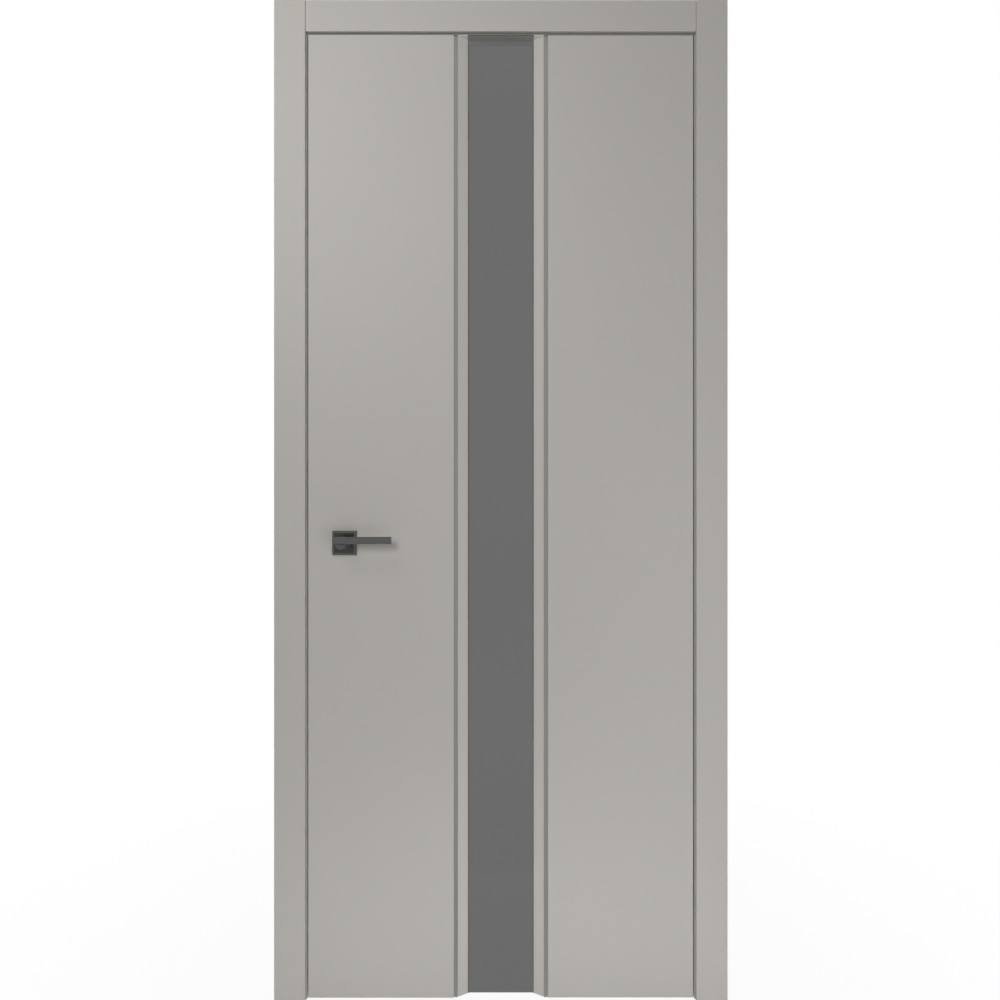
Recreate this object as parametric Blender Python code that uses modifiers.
"""Interior door set: a painted flush leaf with a mirror strip, in its frame with casings, lock and hinges.

Units are metres. The origin is on the floor, in the middle of the opening and of the leaf's thickness.
+X runs from the lock side to the hinge side, +Y runs away from the side that is pulled, and +Z is up.
"""
import math

import bmesh
import bpy
from mathutils import Matrix, Vector

# Clearance between pieces that are glued, pressed, screwed or that slide on each other
FIT = 0.0003
# How far a cutter runs past the face it cuts, and how far joined shapes reach into each other
OVERRUN = 0.001

# Leaf, and the gaps round it
LEAF_WIDTH = 0.800
LEAF_HEIGHT = 2.000
LEAF_THICK = 0.040
FLOOR_GAP = 0.004
TOP_GAP = 0.002
SIDE_GAP = 0.0025

# Inside the leaf
SKIN_THICK = 0.004
STILE_WIDTH = {"lock": 0.138, "hinge": 0.060}
GLAZING_STILE_WIDTH = 0.070
RAIL_HEIGHT = 0.060
CORE_SHEET = 0.003
CORE_STEP = 0.080

# Mirror strip, the sloped beads beside it and the grooves outside them
MIRROR_SIGHT_WIDTH = 0.138
MIRROR_EDGE_COVER = 0.019
MIRROR_THICK = 0.003
SPINE_THICK = 0.003
SPINE_TENON = 0.020
BEAD_WIDTH = 0.0205
BEAD_TIP = 0.001
BEAD_SETBACK = 0.0025
GROOVE_WIDTH = 0.008
GROOVE_DEPTH = 0.0025

# Frame
JAMB_THICK = 0.030
JAMB_DEPTH = 0.080
LEAF_PROUD = 0.002
STOP_HEIGHT = 0.012
SEAL_SPACE = 0.004
SEAL_SLOT_WIDTH = 0.0025
SEAL_SLOT_DEPTH = 0.005

# Casings: a board with a tongue that a slot in the frame's edge takes
CASING_WIDTH = 0.065
CASING_THICK = 0.008
CASING_EASE = 0.002
CASING_REVEAL = 0.002
TONGUE_THICK = 0.004
TONGUE_LENGTH = 0.014
TONGUE_INSET = 0.017

# Plates in the leaf's edge and in the jamb: corners and screw holes
PLATE_CORNER = 0.008
PLATE_SCREW_SPREAD = 0.069
PLATE_SCREW_RADIUS = 0.0022

# Lock, in the lock stile
HANDLE_HEIGHT = 0.949
BACKSET = 0.076
FACEPLATE = (0.003, 0.020, 0.160)
CASE_THICK = 0.016
CASE_WALL = 0.0015
CASE_BELOW = 0.030
CASE_ABOVE = 0.050
CASE_BEHIND = 0.030
HUB_RADIUS = 0.0085
CRANK_LENGTH = 0.016
CRANK_TIP_RADIUS = 0.003
CRANK_ROOT_RADIUS = 0.004
CRANK_THICK = 0.004
CRANK_SET = 0.002
CRANK_PLAY = 0.0013
SPRING_PIN_RADIUS = 0.0012
SPRING_PIN_REACH = 0.0132
LATCH_RISE = 0.024
LATCH_HEAD = (0.020, 0.012, 0.020)
LATCH_THROW = 0.010
LATCH_NOSE = 0.0025
LATCH_TAIL_HEIGHT = 0.009
LATCH_LUG_LENGTH = 0.006
LATCH_LUG_DROP = 0.014

# Springs in the lock
TORSION_WIRE_RADIUS = 0.00055
TORSION_RADIUS = 0.0097
TORSION_PITCH = 0.00165
TORSION_TURNS = 3
TORSION_LEG_REACH = 0.0148
TORSION_LEG_SWEEP = math.radians(25)
TORSION_LEG_CURL = 3
TORSION_POST_ANGLE = math.radians(160)
PUSH_WIRE_RADIUS = 0.00045
PUSH_RADIUS = 0.003
PUSH_TURNS = 6
COIL_STEPS = 12

# Strike, in the lock jamb
STRIKE = (0.002, 0.022, 0.160)
STRIKE_PLAY = 0.001
STRIKE_BOX_WALL = 0.0015
STRIKE_BOX_DEPTH = 0.012

# Handle
SPINDLE_SIZE = 0.008
SPINDLE_LENGTH = 0.110
ROSE_SIZE = 0.050
ROSE_DEPTH = 0.009
ROSE_BEVEL_WIDTH = 0.006
ROSE_BEVEL_DEPTH = 0.004
ROSE_WALL = 0.0015
ROSE_BASE_SIZE = 0.045
ROSE_BASE_DEPTH = 0.003
ROSE_BOLT_SPACING = 0.038
ROSE_BOLT_RADIUS = 0.002
ROSE_BOLT_HEAD = (0.0026, 0.0015)
NECK_RADIUS = 0.0115
LEVER_PROJECTION = 0.052
LEVER_HEEL = 0.007
LEVER_LENGTH = 0.1105
LEVER_HEIGHT = 0.0145
LEVER_THICK = 0.010
LEVER_RISE = 0.0075
LEVER_EASE = 0.001

# Concealed hinges: two arms crossed on one pin, each turning on a pin of its own in a cup
HINGE_FROM_END = 0.250
CUP_HEIGHT = 0.110
CUP_WIDTH = 0.0288
CUP_DEPTH = 0.013
CUP_CORNER = 0.010
CUP_WALL = 0.0014
CUP_FLOOR = 0.0016
CUP_SCREW_SPREAD = 0.041
CUP_SCREW_RADIUS = 0.0022
ARM_SPACE = 0.043
HINGE_PIN_INSET = 0.006
HINGE_PIN_SETBACK = 0.014
HINGE_PIN_RADIUS = 0.0025
HINGE_PIN_SEAT = 0.0055
CROSS_PIN_RADIUS = 0.0022
ARM_HEIGHT = 0.041
ARM_MIDDLE = 0.020
ARM_HALF_WIDTH = 0.003
ARM_BARREL_RADIUS = 0.0042
ARM_CROSS_RADIUS = 0.0038
ARM_ELBOW_REACH = 0.0105
ARM_ELBOW_ANGLE = math.radians(98)

# How finely round shapes are divided, and the angle above which an edge is shaded sharp
ROUND_STEPS = 24
SMALL_ROUND_STEPS = 16
LARGE_ROUND_STEPS = 32
ARC_STEPS = 6
SMOOTH_ANGLE = math.radians(35)

# Places worked out from the sizes
HALF_LEAF = LEAF_WIDTH / 2
FACE = LEAF_THICK / 2
LEAF_BOTTOM = FLOOR_GAP
LEAF_TOP = FLOOR_GAP + LEAF_HEIGHT
STILE_FACE = FACE - SKIN_THICK - FIT
MIRROR_BACK = SPINE_THICK / 2 + FIT
MIRROR_FACE = MIRROR_BACK + MIRROR_THICK
BEAD_OUT = MIRROR_SIGHT_WIDTH / 2 + BEAD_WIDTH
GROOVE_OUT = BEAD_OUT + GROOVE_WIDTH
GROOVE_FLOOR = FACE - GROOVE_DEPTH
GLAZING_IN = BEAD_OUT + FIT
GLAZING_OUT = GLAZING_IN + GLAZING_STILE_WIDTH

JAMB_IN = HALF_LEAF + SIDE_GAP
HEAD_IN = LEAF_TOP + TOP_GAP
JAMB_FRONT = LEAF_PROUD - FACE
JAMB_BACK = JAMB_FRONT + JAMB_DEPTH
STOP_FRONT = FACE + SEAL_SPACE

SPINDLE_X = BACKSET - HALF_LEAF
LATCH_HEIGHT = HANDLE_HEIGHT + LATCH_RISE
CASE_X0 = FACEPLATE[0] + FIT - HALF_LEAF
CASE_X1 = SPINDLE_X + CASE_BEHIND
CASE_Z0 = HANDLE_HEIGHT - CASE_BELOW
CASE_Z1 = HANDLE_HEIGHT + CASE_ABOVE
CASE_Y = CASE_THICK / 2
PLATE_Z = (CASE_Z0 + CASE_Z1) / 2
LUG_X = SPINDLE_X + CRANK_TIP_RADIUS + CRANK_PLAY
CRANK_BACK = CRANK_SET + CRANK_THICK

PIVOT = Vector((HALF_LEAF + SIDE_GAP / 2, -FACE))
FRAME_PIN = Vector((JAMB_IN + HINGE_PIN_INSET, HINGE_PIN_SETBACK - FACE))
LEAF_PIN = Vector((HALF_LEAF - HINGE_PIN_INSET, HINGE_PIN_SETBACK - FACE))
CROSS_PIN = FRAME_PIN + LEAF_PIN - PIVOT
HINGE_HEIGHTS = {"upper": LEAF_TOP - HINGE_FROM_END, "lower": LEAF_BOTTOM + HINGE_FROM_END}

SIDES = {"lock": -1, "hinge": 1}
FACES = {"front": -1, "back": 1}

# Finishes: colour, roughness and metallic value
FINISHES = {
    "enamel": ((0.43, 0.415, 0.39), 0.42, 0.0),
    "softwood": ((0.62, 0.46, 0.28), 0.7, 0.0),
    "board": ((0.45, 0.33, 0.22), 0.8, 0.0),
    "card": ((0.52, 0.42, 0.30), 0.9, 0.0),
    "dark_mirror": ((0.15, 0.15, 0.15), 0.03, 1.0),
    "graphite": ((0.075, 0.075, 0.078), 0.35, 0.8),
    "steel": ((0.55, 0.55, 0.54), 0.35, 1.0),
    "cast_alloy": ((0.42, 0.42, 0.43), 0.4, 1.0),
    "seal_rubber": ((0.06, 0.06, 0.06), 0.7, 0.0),
    "box_plastic": ((0.03, 0.03, 0.03), 0.5, 0.0),
}


# Scene, finishes and objects

def start_scene():
    """Empty the scene and make one collection for the door's pieces and one for the cutters."""
    for old in list(bpy.data.objects):
        bpy.data.objects.remove(old, do_unlink=True)
    groups = []
    for name in ("interior_door", "cutters"):
        group = bpy.data.collections.new(name)
        bpy.context.scene.collection.children.link(group)
        groups.append(group)
    return groups


def make_finish(name, colour, roughness, metallic):
    finish = bpy.data.materials.new(name)
    finish.use_nodes = True
    shader = finish.node_tree.nodes["Principled BSDF"]
    shader.inputs["Base Color"].default_value = (*colour, 1.0)
    shader.inputs["Roughness"].default_value = roughness
    shader.inputs["Metallic"].default_value = metallic
    return finish


PIECES, CUTTERS = start_scene()
FINISH = {name: make_finish(name, *values) for name, values in FINISHES.items()}


def pivot(name, place, parent=None):
    """An empty on a joint's axis, which carries the pieces that move about it."""
    empty = bpy.data.objects.new(name, None)
    empty.location = place
    PIECES.objects.link(empty)
    bpy.context.view_layer.update()
    hang(empty, parent)
    return empty


def hang(obj, parent):
    """Parent an object where it stands."""
    if parent:
        obj.parent = parent
        obj.matrix_parent_inverse = parent.matrix_world.inverted()
        bpy.context.view_layer.update()


def add(name, shape, finish, parent=None):
    """Make a named piece from a shape and free the shape."""
    mesh = bpy.data.meshes.new(name)
    shape.to_mesh(mesh)
    shape.free()
    mesh.shade_smooth()
    mesh.set_sharp_from_angle(angle=SMOOTH_ANGLE)
    mesh.materials.append(FINISH[finish])
    obj = bpy.data.objects.new(name, mesh)
    PIECES.objects.link(obj)
    hang(obj, parent)
    return obj


def work(obj, operation, *shapes):
    """Cut shapes out of a piece, or join them to it; each shape stays as a hidden guide."""
    for shape in shapes:
        name = f"{obj.name}_{operation.lower()}_{len(obj.modifiers)}"
        mesh = bpy.data.meshes.new(name)
        shape.to_mesh(mesh)
        shape.free()
        guide = bpy.data.objects.new(name, mesh)
        guide.hide_render = True
        guide.display_type = "WIRE"
        CUTTERS.objects.link(guide)
        modifier = obj.modifiers.new(name, "BOOLEAN")
        modifier.operation = operation
        modifier.object = guide
    return obj


def cut(obj, *shapes):
    return work(obj, "DIFFERENCE", *shapes)


def join(obj, *shapes):
    return work(obj, "UNION", *shapes)


# Shapes

def box(x, y, z):
    """A block between two values on each axis, given in either order."""
    low = Vector(min(pair) for pair in (x, y, z))
    high = Vector(max(pair) for pair in (x, y, z))
    shape = bmesh.new()
    bmesh.ops.create_cube(shape, size=1.0)
    bmesh.ops.scale(shape, vec=high - low, verts=shape.verts)
    bmesh.ops.translate(shape, vec=(low + high) / 2, verts=shape.verts)
    return shape


AXIS_TURN = {
    "X": Matrix(((0, 0, 1, 0), (1, 0, 0, 0), (0, 1, 0, 0), (0, 0, 0, 1))),
    "Y": Matrix(((1, 0, 0, 0), (0, 0, 1, 0), (0, 1, 0, 0), (0, 0, 0, 1))),
    "Z": Matrix.Identity(4),
}


def prism(outline, axis, start, end):
    """A closed outline drawn out along an axis; it is given in the two other axes, in X, Y, Z order."""
    curve = bpy.data.curves.new("outline", "CURVE")
    curve.dimensions = "2D"
    curve.fill_mode = "BOTH"
    curve.extrude = abs(end - start) / 2
    spline = curve.splines.new("POLY")
    spline.points.add(len(outline) - 1)
    for point, (across, up) in zip(spline.points, outline):
        point.co = (across, up, 0, 1)
    spline.use_cyclic_u = True
    holder = bpy.data.objects.new("outline", curve)
    CUTTERS.objects.link(holder)
    graph = bpy.context.evaluated_depsgraph_get()
    mesh = bpy.data.meshes.new_from_object(holder.evaluated_get(graph))
    shape = bmesh.new()
    shape.from_mesh(mesh)
    bmesh.ops.remove_doubles(shape, verts=shape.verts, dist=1e-6)
    bmesh.ops.translate(shape, vec=(0, 0, (start + end) / 2), verts=shape.verts)
    bmesh.ops.transform(shape, matrix=AXIS_TURN[axis], verts=shape.verts)
    bmesh.ops.recalc_face_normals(shape, faces=shape.faces)
    bpy.data.objects.remove(holder)
    bpy.data.meshes.remove(mesh)
    return shape


def rod(radius, axis, centre, start, end, steps=ROUND_STEPS):
    """A round bar along an axis; its centre is given in the two other axes, in X, Y, Z order."""
    shape = bmesh.new()
    bmesh.ops.create_cone(shape, cap_ends=True, segments=steps, radius1=radius, radius2=radius,
                          depth=abs(end - start))
    bmesh.ops.translate(shape, vec=(*centre, (start + end) / 2), verts=shape.verts)
    bmesh.ops.transform(shape, matrix=AXIS_TURN[axis], verts=shape.verts)
    bmesh.ops.recalc_face_normals(shape, faces=shape.faces)
    return shape


def arc(centre, radius, start, end, steps=ARC_STEPS):
    """Points on an arc between two angles, both ends included."""
    angles = [start + (end - start) * i / steps for i in range(steps + 1)]
    return [(centre[0] + radius * math.cos(a), centre[1] + radius * math.sin(a)) for a in angles]


def rounded_rectangle(centre, width, height, corner):
    across = width / 2 - corner
    up = height / 2 - corner
    quarter = math.pi / 2
    places = ((across, up), (-across, up), (-across, -up), (across, -up))
    outline = []
    for i, (dx, dy) in enumerate(places):
        outline += arc((centre[0] + dx, centre[1] + dy), corner, i * quarter, (i + 1) * quarter)
    return outline


def link_outline(a, b, radius_a, radius_b):
    """The outline of a link with round ends of two radii."""
    along = Vector(b) - Vector(a)
    heading = math.atan2(along.y, along.x)
    spread = math.acos((radius_a - radius_b) / along.length)
    steps = 2 * ARC_STEPS
    around_a = arc(a, radius_a, heading + spread, heading + 2 * math.pi - spread, steps)
    return around_a + arc(b, radius_b, heading - spread, heading + spread, steps)


def trim(shape, point, normal):
    """Cut away what lies on the normal's side of a plane and close the cut."""
    everything = shape.verts[:] + shape.edges[:] + shape.faces[:]
    result = bmesh.ops.bisect_plane(shape, geom=everything, plane_co=point, plane_no=normal,
                                    clear_outer=True)
    edges = [part for part in result["geom_cut"] if isinstance(part, bmesh.types.BMEdge)]
    bmesh.ops.edgeloop_fill(shape, edges=edges)
    bmesh.ops.recalc_face_normals(shape, faces=shape.faces)
    return shape


def tube(name, points, radius, finish, parent=None):
    """A wire along points, with closed ends."""
    curve = bpy.data.curves.new(name, "CURVE")
    curve.dimensions = "3D"
    curve.bevel_depth = radius
    curve.bevel_resolution = 1
    curve.use_fill_caps = True
    spline = curve.splines.new("POLY")
    spline.points.add(len(points) - 1)
    for point, place in zip(spline.points, points):
        point.co = (*place, 1)
    curve.materials.append(FINISH[finish])
    obj = bpy.data.objects.new(name, curve)
    PIECES.objects.link(obj)
    hang(obj, parent)
    return obj


def report_coil(name, points, radius):
    """Print the least gap between a coil's turns, past the half turn next to each point."""
    near = COIL_STEPS // 2
    gaps = [(points[i] - points[j]).length
            for i in range(len(points)) for j in range(i + near, len(points))]
    print(f"{name}: least gap between turns {(min(gaps) - 2 * radius) * 1000:.2f} mm")


def group(*shapes):
    """Several shapes as one, so that one cut makes them all."""
    whole = bmesh.new()
    for shape in shapes:
        mesh = bpy.data.meshes.new("group")
        shape.to_mesh(mesh)
        shape.free()
        whole.from_mesh(mesh)
        bpy.data.meshes.remove(mesh)
    return whole


# Frame: each outline is given as distance out from the rebate and place in depth

def frame_outline():
    slot = (TONGUE_INSET - FIT, TONGUE_INSET + TONGUE_THICK + FIT)
    slot_depth = TONGUE_LENGTH + FIT
    groove = (-(STOP_HEIGHT + SEAL_SLOT_WIDTH) / 2, -(STOP_HEIGHT - SEAL_SLOT_WIDTH) / 2)
    groove_back = STOP_FRONT + SEAL_SLOT_DEPTH
    return [
        (0, JAMB_FRONT),
        (slot[0], JAMB_FRONT), (slot[0], JAMB_FRONT + slot_depth),
        (slot[1], JAMB_FRONT + slot_depth), (slot[1], JAMB_FRONT),
        (JAMB_THICK, JAMB_FRONT), (JAMB_THICK, JAMB_BACK),
        (slot[1], JAMB_BACK), (slot[1], JAMB_BACK - slot_depth),
        (slot[0], JAMB_BACK - slot_depth), (slot[0], JAMB_BACK),
        (-STOP_HEIGHT, JAMB_BACK), (-STOP_HEIGHT, STOP_FRONT),
        (groove[0], STOP_FRONT), (groove[0], groove_back),
        (groove[1], groove_back), (groove[1], STOP_FRONT),
        (0, STOP_FRONT),
    ]


def seal_outline():
    middle = -STOP_HEIGHT / 2
    base = STOP_FRONT - FIT
    stem = SEAL_SLOT_WIDTH / 2 - FIT
    root = STOP_FRONT + SEAL_SLOT_DEPTH - FIT
    bulb = arc((middle, base), base - FACE - FIT, math.pi, 2 * math.pi, 2 * ARC_STEPS)
    return bulb + [(middle + stem, base), (middle + stem, root), (middle - stem, root), (middle - stem, base)]


def mitred_set(name, outline, finish):
    """Two uprights and a head of one section, mitred where they meet."""
    top = HEAD_IN + max(out for out, depth in outline)
    side = JAMB_IN + max(out for out, depth in outline)
    head = prism([(depth, HEAD_IN + out) for out, depth in outline], "X", -side, side)
    pieces = {}
    for key, sign in SIDES.items():
        corner = Vector((sign * JAMB_IN, 0, HEAD_IN))
        rise = Vector((-sign, 0, 1)).normalized()
        upright = prism([(sign * (JAMB_IN + out), depth) for out, depth in outline], "Z", 0, top)
        trim(upright, corner - rise * FIT / 2, rise)
        trim(head, corner + rise * FIT / 2, -rise)
        pieces[key] = add(f"{name}_{key}", upright, finish)
    pieces["head"] = add(f"{name}_head", head, finish)
    return pieces


def casing_outline(inner, seat, outward):
    """A board's section with two eased edges on its outer face."""
    outer = inner + CASING_WIDTH
    face = seat + outward * CASING_THICK
    low = arc((inner + CASING_EASE, face - outward * CASING_EASE), CASING_EASE,
              math.pi, math.pi + outward * -math.pi / 2)
    high = arc((outer - CASING_EASE, face - outward * CASING_EASE), CASING_EASE,
               outward * math.pi / 2, 0)
    return [(inner, seat)] + low + high + [(outer, seat)]


def build_casings():
    """Full-height side casings with the head casing set between them, in front and behind."""
    settings = {"front": (CASING_REVEAL, JAMB_FRONT - FIT, -1), "back": (-STOP_HEIGHT, JAMB_BACK + FIT, 1)}
    for face, (inner, seat, outward) in settings.items():
        outline = casing_outline(inner, seat, outward)
        tongue = (TONGUE_INSET, TONGUE_INSET + TONGUE_THICK)
        tongue_depth = (seat + outward * CASING_THICK / 2, seat - outward * (TONGUE_LENGTH + FIT))
        top = HEAD_IN + inner + CASING_WIDTH
        for key, sign in SIDES.items():
            board = prism([(sign * (JAMB_IN + out), depth) for out, depth in outline], "Z", 0, top)
            side = add(f"casing_{face}_{key}", board, "enamel")
            tongue_x = [sign * (JAMB_IN + out) for out in tongue]
            join(side, box(tongue_x, tongue_depth, (0, HEAD_IN)))
        half = JAMB_IN + inner - FIT
        board = prism([(depth, HEAD_IN + out) for out, depth in outline], "X", -half, half)
        head = add(f"casing_{face}_head", board, "enamel")
        join(head, box((-half, half), tongue_depth, [HEAD_IN + out for out in tongue]))


# Leaf

def across(sign, inner, outer):
    return sign * inner, sign * outer


def build_leaf_frame(leaf):
    """Stiles and rails of both halves; those beside the mirror hold the spine and floor the grooves."""
    depth = (-STILE_FACE, STILE_FACE)
    height = (LEAF_BOTTOM, LEAF_TOP)
    slot = SPINE_THICK / 2 + FIT
    slot_end = GLAZING_IN + SPINE_TENON + FIT
    for key, sign in SIDES.items():
        edge = HALF_LEAF - STILE_WIDTH[key]
        add(f"{key}_stile", box(across(sign, edge, HALF_LEAF), depth, height), "enamel", leaf)
        half = [(GLAZING_OUT, STILE_FACE), (GROOVE_OUT - FIT, STILE_FACE), (GROOVE_OUT - FIT, GROOVE_FLOOR),
                (GLAZING_IN, GROOVE_FLOOR), (GLAZING_IN, slot), (slot_end, slot)]
        section = half + [(x, -y) for x, y in reversed(half)]
        stile = prism([(sign * x, y) for x, y in section], "Z", *height)
        add(f"glazing_stile_{key}", stile, "enamel", leaf)
        span = across(sign, GLAZING_OUT + FIT, edge - FIT)
        low_rail = (LEAF_BOTTOM, LEAF_BOTTOM + RAIL_HEIGHT)
        high_rail = (LEAF_TOP - RAIL_HEIGHT, LEAF_TOP)
        add(f"bottom_rail_{key}", box(span, depth, low_rail), "softwood", leaf)
        add(f"top_rail_{key}", box(span, depth, high_rail), "softwood", leaf)


def build_cores(leaf):
    """One folded strip of card in each half, standing on edge between the skins."""
    for key, sign in SIDES.items():
        width = HALF_LEAF - STILE_WIDTH[key] - GLAZING_OUT
        fold = CORE_SHEET / 2 / math.sin(math.atan2(CORE_STEP, width)) + FIT
        sides = across(sign, GLAZING_OUT + fold, GLAZING_OUT + width - fold)
        start = LEAF_BOTTOM + RAIL_HEIGHT + FIT + CORE_SHEET / 2
        end = LEAF_TOP - RAIL_HEIGHT - FIT - CORE_SHEET / 2
        count = round((end - start) / CORE_STEP)
        shape = bmesh.new()
        line = [shape.verts.new((sides[i % 2], -STILE_FACE, start + (end - start) * i / count))
                for i in range(count + 1)]
        edges = [shape.edges.new(pair) for pair in zip(line, line[1:])]
        raised = bmesh.ops.extrude_edge_only(shape, edges=edges)["geom"]
        moved = [part for part in raised if isinstance(part, bmesh.types.BMVert)]
        bmesh.ops.translate(shape, vec=(0, 2 * STILE_FACE, 0), verts=moved)
        core = add(f"core_{key}", shape, "card", leaf)
        sheet = core.modifiers.new("sheet", "SOLIDIFY")
        sheet.thickness = CORE_SHEET
        sheet.offset = 0
        sheet.use_even_offset = True


def build_skins(leaf):
    """Thin faces on both sides of both halves; those on the lock side are bored for the handle."""
    for face, outward in FACES.items():
        depth = (outward * (FACE - SKIN_THICK), outward * FACE)
        for key, sign in SIDES.items():
            board = box(across(sign, GROOVE_OUT, HALF_LEAF), depth, (LEAF_BOTTOM, LEAF_TOP))
            skin = add(f"skin_{face}_{key}", board, "enamel", leaf)
            if key == "lock":
                cut(skin, handle_bores(FACE))


def build_mirror_strip(leaf):
    """The spine, a mirror on each of its faces and the four sloped beads that hold them."""
    height = (LEAF_BOTTOM, LEAF_TOP)
    spine = GLAZING_IN + SPINE_TENON
    add("spine_panel", box((-spine, spine), (-SPINE_THICK / 2, SPINE_THICK / 2), height), "board", leaf)
    half = MIRROR_SIGHT_WIDTH / 2 + MIRROR_EDGE_COVER
    sight = MIRROR_SIGHT_WIDTH / 2
    seat = MIRROR_FACE + FIT
    for face, outward in FACES.items():
        depth = (outward * MIRROR_BACK, outward * MIRROR_FACE)
        add(f"mirror_{face}", box((-half, half), depth, height), "dark_mirror", leaf)
        section = [(sight, seat), (BEAD_OUT, seat), (BEAD_OUT, FACE - BEAD_SETBACK), (sight, seat + BEAD_TIP)]
        for key, sign in SIDES.items():
            bead = prism([(sign * x, outward * y) for x, y in section], "Z", *height)
            add(f"bead_{face}_{key}", bead, "enamel", leaf)


# Lock

def bolt_places():
    return [(SPINDLE_X + sign * ROSE_BOLT_SPACING / 2, HANDLE_HEIGHT) for sign in (-1, 1)]


def handle_bores(reach):
    """One cutter for the neck and the two through bolts, right through the leaf."""
    ends = (-reach - OVERRUN, reach + OVERRUN)
    centre = (SPINDLE_X, HANDLE_HEIGHT)
    bores = [rod(ROSE_BOLT_RADIUS + FIT, "Y", place, *ends) for place in bolt_places()]
    return group(*bores, rod(NECK_RADIUS + FIT, "Y", centre, *ends))


def latch_window(x):
    """A cutter for the hole that the latch head slides in."""
    half_y = LATCH_HEAD[1] / 2 + FIT
    half_z = LATCH_HEAD[2] / 2 + FIT
    return box(x, (-half_y, half_y), (LATCH_HEIGHT - half_z, LATCH_HEIGHT + half_z))


def plate_shape(x, size, height, margin=0):
    """A plate with round corners between two places on X, or the recess for it with a margin round it."""
    thick, wide, tall = size
    outline = rounded_rectangle((0, height), wide + 2 * margin, tall + 2 * margin, PLATE_CORNER + margin)
    return prism(outline, "X", *x)


def plate_screws(x, height):
    """One cutter for the two screw holes in a plate."""
    places = [(0, height + side * PLATE_SCREW_SPREAD) for side in (-1, 1)]
    return group(*[rod(PLATE_SCREW_RADIUS, "X", place, *x, SMALL_ROUND_STEPS) for place in places])


def build_lock(leaf):
    """Faceplate, case and cover, let into the lock stile."""
    stile = bpy.data.objects["lock_stile"]
    edge = -HALF_LEAF
    outside = edge - OVERRUN
    behind = edge + FACEPLATE[0]
    cut(stile,
        plate_shape((outside, behind + FIT), FACEPLATE, PLATE_Z, FIT),
        box((outside, CASE_X1 + FIT), (-CASE_Y - FIT, CASE_Y + FIT), (CASE_Z0 - FIT, CASE_Z1 + FIT)),
        handle_bores(STILE_FACE))

    plate = add("lock_faceplate", plate_shape((edge, behind), FACEPLATE, PLATE_Z), "steel", leaf)
    through = (outside, behind + OVERRUN)
    cut(plate, latch_window(through), plate_screws(through, PLATE_Z))

    rim = CASE_WALL + FIT - CASE_Y
    inside_y = CASE_Y - CASE_WALL
    case = add("lock_case", box((CASE_X0, CASE_X1), (rim, CASE_Y), (CASE_Z0, CASE_Z1)), "steel", leaf)
    cut(case,
        box((CASE_X0 + CASE_WALL, CASE_X1 - CASE_WALL), (rim - OVERRUN, inside_y),
            (CASE_Z0 + CASE_WALL, CASE_Z1 - CASE_WALL)),
        latch_window((CASE_X0 - OVERRUN, CASE_X0 + CASE_WALL + OVERRUN)),
        case_bores())
    join(case, rod(SPRING_PIN_RADIUS, "Y", spring_post(), rim + FIT, inside_y + CASE_WALL / 2,
                   SMALL_ROUND_STEPS))
    sheet = box((CASE_X0, CASE_X1), (-CASE_Y, -inside_y), (CASE_Z0, CASE_Z1))
    cover = add("lock_cover", sheet, "steel", leaf)
    cut(cover, case_bores())


def case_bores():
    ends = (-CASE_Y - OVERRUN, CASE_Y + OVERRUN)
    bores = [rod(ROSE_BOLT_RADIUS + FIT, "Y", place, *ends) for place in bolt_places()]
    return group(*bores, rod(HUB_RADIUS + FIT, "Y", (SPINDLE_X, HANDLE_HEIGHT), *ends))


def around_spindle(reach, angle):
    """A place round the spindle, at an angle from straight up towards the hinge side."""
    return SPINDLE_X + reach * math.sin(angle), HANDLE_HEIGHT + reach * math.cos(angle)


def leg_lean():
    """The angle between a spring leg and the pin that it bears on."""
    return math.asin((SPRING_PIN_RADIUS + FIT + TORSION_WIRE_RADIUS) / SPRING_PIN_REACH)


def leg_start():
    """The angle of the torsion spring's fixed leg, which points down and towards the lock edge."""
    return leg_lean() - 2 * math.pi * TORSION_TURNS - TORSION_POST_ANGLE


def spring_post():
    return around_spindle(SPRING_PIN_REACH, leg_start() + leg_lean())


def build_follower(handle):
    """The hub that the spindle turns, with the crank that draws the latch back."""
    centre = (SPINDLE_X, HANDLE_HEIGHT)
    reach = CASE_Y - FIT
    hub = rod(HUB_RADIUS, "Y", centre, -reach, reach, LARGE_ROUND_STEPS)
    follower = add("latch_follower", hub, "cast_alloy", handle)
    crank = link_outline(centre, around_spindle(CRANK_LENGTH, 0), CRANK_ROOT_RADIUS, CRANK_TIP_RADIUS)
    pin = around_spindle(SPRING_PIN_REACH, 0)
    half = SPINDLE_SIZE / 2 + FIT
    join(follower, prism(crank, "Y", CRANK_SET, CRANK_BACK),
         rod(SPRING_PIN_RADIUS, "Y", pin, -CRANK_SET / 2, CRANK_BACK - OVERRUN, SMALL_ROUND_STEPS))
    cut(follower, box((SPINDLE_X - half, SPINDLE_X + half), (-CASE_Y, CASE_Y),
                      (HANDLE_HEIGHT - half, HANDLE_HEIGHT + half)))


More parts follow.
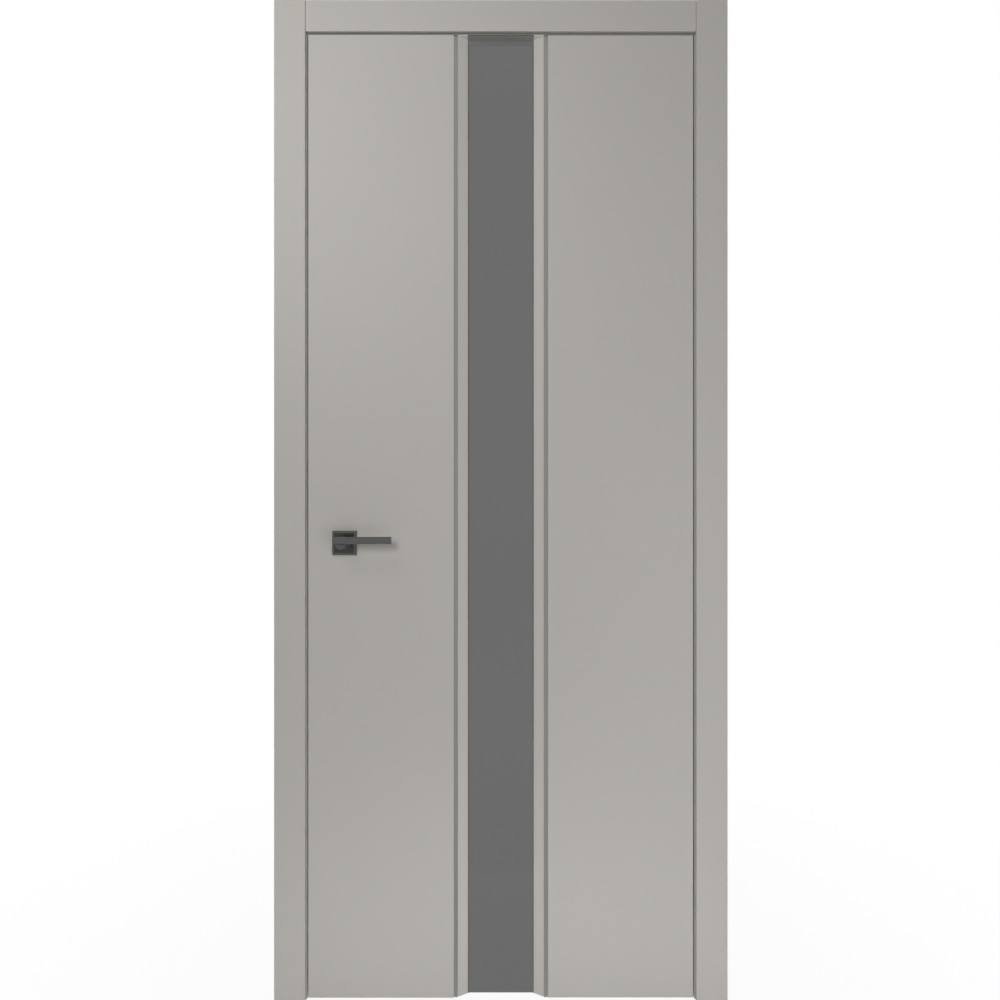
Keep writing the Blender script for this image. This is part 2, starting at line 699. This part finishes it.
def build_latch(latch):
    """The bevelled latch head, its tail and the lug that the crank pulls."""
    tip = -HALF_LEAF - LATCH_THROW
    root = -HALF_LEAF + LATCH_HEAD[0]
    half = LATCH_HEAD[1] / 2
    head = [(tip, -half), (root, -half), (root, half), (-HALF_LEAF, half), (tip, LATCH_NOSE - half)]
    half_z = LATCH_HEAD[2] / 2
    block = prism(head, "Z", LATCH_HEIGHT - half_z, LATCH_HEIGHT + half_z)
    bolt = add("latch_bolt", block, "cast_alloy", latch)
    tail = (LATCH_HEIGHT - LATCH_TAIL_HEIGHT / 2, LATCH_HEIGHT + LATCH_TAIL_HEIGHT / 2)
    lug_x = (LUG_X, LUG_X + LATCH_LUG_LENGTH)
    join(bolt, box((root - OVERRUN, lug_x[1]), (CRANK_SET, CRANK_BACK), tail),
         box(lug_x, (-OVERRUN, CRANK_BACK), (LATCH_HEIGHT - LATCH_LUG_DROP, tail[1])))


def torsion_path():
    """A leg that turns from the radius into the coil, the coil, and a second leg at its other end."""
    begin = leg_start()
    finish = leg_lean()
    first = begin + TORSION_LEG_SWEEP
    last = finish - TORSION_LEG_SWEEP
    steps = round((last - first) / (2 * math.pi) * COIL_STEPS)
    leg = []
    for i in range(1, ARC_STEPS + 1):
        part = i / ARC_STEPS
        leg.append((TORSION_RADIUS + (TORSION_LEG_REACH - TORSION_RADIUS) * part ** TORSION_LEG_CURL,
                    TORSION_LEG_SWEEP * (1 - (1 - part) ** 2)))
    polar = [(reach, first - sweep) for reach, sweep in reversed(leg)]
    polar += [(TORSION_RADIUS, first + (last - first) * i / steps) for i in range(steps + 1)]
    polar += [(reach, last + sweep) for reach, sweep in leg]
    points = []
    for reach, angle in polar:
        x, z = around_spindle(reach, angle)
        points.append(Vector((x, TORSION_PITCH * (angle - finish) / (2 * math.pi), z)))
    return points


def push_path():
    """The coil between the latch lug and the back of the case."""
    start = LUG_X + LATCH_LUG_LENGTH + FIT + PUSH_WIRE_RADIUS
    end = CASE_X1 - CASE_WALL - FIT - PUSH_WIRE_RADIUS
    middle = CRANK_BACK / 2
    count = PUSH_TURNS * COIL_STEPS
    points = []
    for i in range(count + 1):
        angle = 2 * math.pi * i / COIL_STEPS
        points.append(Vector((start + (end - start) * i / count, middle + PUSH_RADIUS * math.cos(angle),
                              LATCH_HEIGHT + PUSH_RADIUS * math.sin(angle))))
    return points


def build_springs(leaf):
    for name, points, radius in (("follower_spring", torsion_path(), TORSION_WIRE_RADIUS),
                                 ("latch_spring", push_path(), PUSH_WIRE_RADIUS)):
        tube(name, points, radius, "steel", leaf)
        report_coil(name, points, radius)


def build_strike(jambs):
    """The plate and the box behind it, let into the lock jamb."""
    face = -JAMB_IN
    behind = face - STRIKE[0]
    half_y = LATCH_HEAD[1] / 2 + STRIKE_PLAY
    half_z = LATCH_HEAD[2] / 2 + STRIKE_PLAY
    through = (behind - OVERRUN, face + OVERRUN)
    plate = add("strike_plate", plate_shape((behind, face), STRIKE, LATCH_HEIGHT), "steel")
    cut(plate, box(through, (-half_y, half_y), (LATCH_HEIGHT - half_z, LATCH_HEIGHT + half_z)),
        plate_screws(through, LATCH_HEIGHT))

    mouth = behind - FIT
    back = mouth - STRIKE_BOX_DEPTH
    outer_y = half_y + STRIKE_BOX_WALL
    outer_z = half_z + STRIKE_BOX_WALL
    case = add("strike_box", box((back, mouth), (-outer_y, outer_y),
                                 (LATCH_HEIGHT - outer_z, LATCH_HEIGHT + outer_z)), "box_plastic")
    cut(case, box((back + STRIKE_BOX_WALL, mouth + OVERRUN), (-half_y, half_y),
                  (LATCH_HEIGHT - half_z, LATCH_HEIGHT + half_z)))
    cut(jambs["lock"],
        plate_shape((mouth, face + OVERRUN), STRIKE, LATCH_HEIGHT, FIT),
        box((back - FIT, face + OVERRUN), (-outer_y - FIT, outer_y + FIT),
            (LATCH_HEIGHT - outer_z - FIT, LATCH_HEIGHT + outer_z + FIT)))


# Handle

def square(half, y):
    """A square block centred on the spindle."""
    return box((SPINDLE_X - half, SPINDLE_X + half), y, (HANDLE_HEIGHT - half, HANDLE_HEIGHT + half))


def bevelled_square(half, back, front):
    """A square block with a sloped border round its front face."""
    outward = math.copysign(1, front - back)
    shape = square(half, (back, front - outward * ROSE_BEVEL_DEPTH))
    face = max(shape.faces, key=lambda side: outward * side.calc_center_median().y)
    bmesh.ops.inset_region(shape, faces=[face], thickness=ROSE_BEVEL_WIDTH, depth=ROSE_BEVEL_DEPTH)
    return shape


def build_roses(leaf):
    """On each face a base plate and the bevelled cover that hides it."""
    centre = (SPINDLE_X, HANDLE_HEIGHT)
    for face, outward in FACES.items():
        seat = outward * (FACE + FIT)
        base_front = seat + outward * ROSE_BASE_DEPTH
        cover_front = seat + outward * ROSE_DEPTH
        past = outward * OVERRUN
        base = add(f"rose_base_{face}", square(ROSE_BASE_SIZE / 2, (seat, base_front)), "steel", leaf)
        cut(base, rod(NECK_RADIUS + FIT, "Y", centre, seat - past, base_front + past))
        for place in bolt_places():
            head = base_front - outward * (ROSE_BOLT_HEAD[1] + FIT)
            cut(base, rod(ROSE_BOLT_RADIUS + FIT, "Y", place, seat - past, base_front + past),
                rod(ROSE_BOLT_HEAD[0] + FIT, "Y", place, head, base_front + past))
        cover = add(f"rose_cover_{face}", bevelled_square(ROSE_SIZE / 2, seat, cover_front), "graphite", leaf)
        hollow = bevelled_square(ROSE_SIZE / 2 - ROSE_WALL, seat - past, cover_front - outward * ROSE_WALL)
        cut(cover, hollow, rod(NECK_RADIUS + FIT, "Y", centre, seat, cover_front + past))


def build_bolts(leaf):
    """Two bolts with sunk heads that draw the rose bases together through the leaf."""
    end = FACE + FIT + ROSE_BASE_DEPTH
    head_radius, head_depth = ROSE_BOLT_HEAD
    for key, place in zip(("outer", "inner"), bolt_places()):
        shank_end = end - head_depth / 2
        shank = rod(ROSE_BOLT_RADIUS, "Y", place, -shank_end, shank_end, SMALL_ROUND_STEPS)
        bolt = add(f"rose_bolt_{key}", shank, "steel", leaf)
        for way in (-1, 1):
            head = rod(head_radius, "Y", place, way * (end - head_depth), way * end, SMALL_ROUND_STEPS)
            join(bolt, head)


def build_levers(handle):
    """A round neck on the spindle with a flat bar that sits above its centre, on each face."""
    centre = (SPINDLE_X, HANDLE_HEIGHT)
    half = SPINDLE_SIZE / 2 + FIT
    bar_x = (SPINDLE_X - LEVER_HEEL, SPINDLE_X - LEVER_HEEL + LEVER_LENGTH)
    bar_z = HANDLE_HEIGHT + LEVER_RISE
    for face, outward in FACES.items():
        front = outward * (FACE + LEVER_PROJECTION)
        back = front - outward * LEVER_THICK
        shape = box(bar_x, (back, front), (bar_z - LEVER_HEIGHT / 2, bar_z + LEVER_HEIGHT / 2))
        bmesh.ops.bevel(shape, geom=shape.edges[:], offset=LEVER_EASE, segments=2, profile=0.5,
                        affect="EDGES")
        lever = add(f"lever_{face}", shape, "graphite", handle)
        seat = outward * (FACE + 2 * FIT)
        join(lever, rod(NECK_RADIUS, "Y", centre, seat, back + outward * LEVER_THICK / 2, LARGE_ROUND_STEPS))
        cut(lever, square(half, (seat - outward * OVERRUN, outward * (SPINDLE_LENGTH / 2 + FIT))))
    add("spindle", square(SPINDLE_SIZE / 2, (-SPINDLE_LENGTH / 2, SPINDLE_LENGTH / 2)), "steel", handle)


# Hinges

def build_cup(name, sign, pin, height, parent, carrier):
    """A cup let into a jamb or stile; sign is the way it goes in from the gap."""
    mouth = PIVOT.x + sign * SIDE_GAP / 2
    floor = mouth + sign * CUP_DEPTH
    past = sign * OVERRUN
    centre = (0, height)
    outline = rounded_rectangle(centre, CUP_WIDTH, CUP_HEIGHT, CUP_CORNER)
    pocket = rounded_rectangle(centre, CUP_WIDTH + 2 * FIT, CUP_HEIGHT + 2 * FIT, CUP_CORNER + FIT)
    cut(carrier, prism(pocket, "X", mouth - past, floor + sign * FIT))
    cup = add(name, prism(outline, "X", mouth, floor), "cast_alloy", parent)
    inside = CUP_WIDTH / 2 - CUP_WALL
    bore = ARM_SPACE / 2 + HINGE_PIN_SEAT + FIT
    cut(cup,
        box((mouth - past, floor - sign * CUP_FLOOR), (-inside, inside),
            (height - ARM_SPACE / 2, height + ARM_SPACE / 2)),
        rod(HINGE_PIN_RADIUS + FIT, "Z", pin, height - bore, height + bore),
        group(*[rod(CUP_SCREW_RADIUS, "X", (0, height + side * CUP_SCREW_SPREAD), mouth - past, floor + past,
                    SMALL_ROUND_STEPS) for side in (-1, 1)]))


def elbow(pin, sign):
    """Where an arm bends on its way from its own pin to the crossing pin."""
    return pin + ARM_ELBOW_REACH * Vector((sign * math.cos(ARM_ELBOW_ANGLE), math.sin(ARM_ELBOW_ANGLE)))


def arm_plates(pin, sign, low, high):
    """The two straight runs of a bent arm."""
    bend = elbow(pin, sign)
    first = link_outline(pin, bend, ARM_BARREL_RADIUS, ARM_HALF_WIDTH)
    second = link_outline(CROSS_PIN, bend, ARM_CROSS_RADIUS, ARM_HALF_WIDTH)
    return [prism(first, "Z", low, high), prism(second, "Z", low, high)]


def build_arms(key, height, frame_arms, leaf_arms):
    """The frame arm is one middle plate with the crossing pin; the leaf arm is a fork that straddles it."""
    pin_end = ARM_SPACE / 2 + HINGE_PIN_SEAT
    tall = ARM_HEIGHT / 2
    middle = ARM_MIDDLE / 2
    cross_end = tall - FIT
    for side, sign, pin, parent in (("frame", 1, FRAME_PIN, frame_arms), ("leaf", -1, LEAF_PIN, leaf_arms)):
        barrel = rod(ARM_BARREL_RADIUS, "Z", pin, height - tall, height + tall)
        arm = add(f"hinge_{side}_arm_{key}", barrel, "cast_alloy", parent)
        join(arm, rod(HINGE_PIN_RADIUS, "Z", pin, height - pin_end, height + pin_end))
        if side == "frame":
            join(arm, *arm_plates(pin, sign, height - middle, height + middle),
                 rod(CROSS_PIN_RADIUS, "Z", CROSS_PIN, height - cross_end, height + cross_end))
        else:
            for way in (-1, 1):
                near = height + way * (middle + FIT)
                join(arm, *arm_plates(pin, sign, near, height + way * tall))
            past = tall + OVERRUN
            cut(arm, rod(CROSS_PIN_RADIUS + FIT, "Z", CROSS_PIN, height - past, height + past))


def build_hinges(jambs, leaf, frame_arms, leaf_arms):
    stile = bpy.data.objects["hinge_stile"]
    for key, height in HINGE_HEIGHTS.items():
        build_cup(f"hinge_frame_cup_{key}", 1, FRAME_PIN, height, None, jambs["hinge"])
        build_cup(f"hinge_leaf_cup_{key}", -1, LEAF_PIN, height, leaf, stile)
        build_arms(key, height, frame_arms, leaf_arms)


# Assembly

def main():
    leaf = pivot("leaf_pivot", (*PIVOT, 0))
    frame_arms = pivot("frame_arm_pivot", (*FRAME_PIN, 0))
    leaf_arms = pivot("leaf_arm_pivot", (*LEAF_PIN, 0), leaf)
    handle = pivot("handle_pivot", (SPINDLE_X, 0, HANDLE_HEIGHT), leaf)
    latch = pivot("latch_guide", (-HALF_LEAF, 0, LATCH_HEIGHT), leaf)

    jambs = mitred_set("jamb", frame_outline(), "enamel")
    mitred_set("seal", seal_outline(), "seal_rubber")
    build_casings()

    build_leaf_frame(leaf)
    build_cores(leaf)
    build_skins(leaf)
    build_mirror_strip(leaf)

    build_lock(leaf)
    build_follower(handle)
    build_latch(latch)
    build_springs(leaf)
    build_strike(jambs)

    build_roses(leaf)
    build_bolts(leaf)
    build_levers(handle)
    build_hinges(jambs, leaf, frame_arms, leaf_arms)


main()
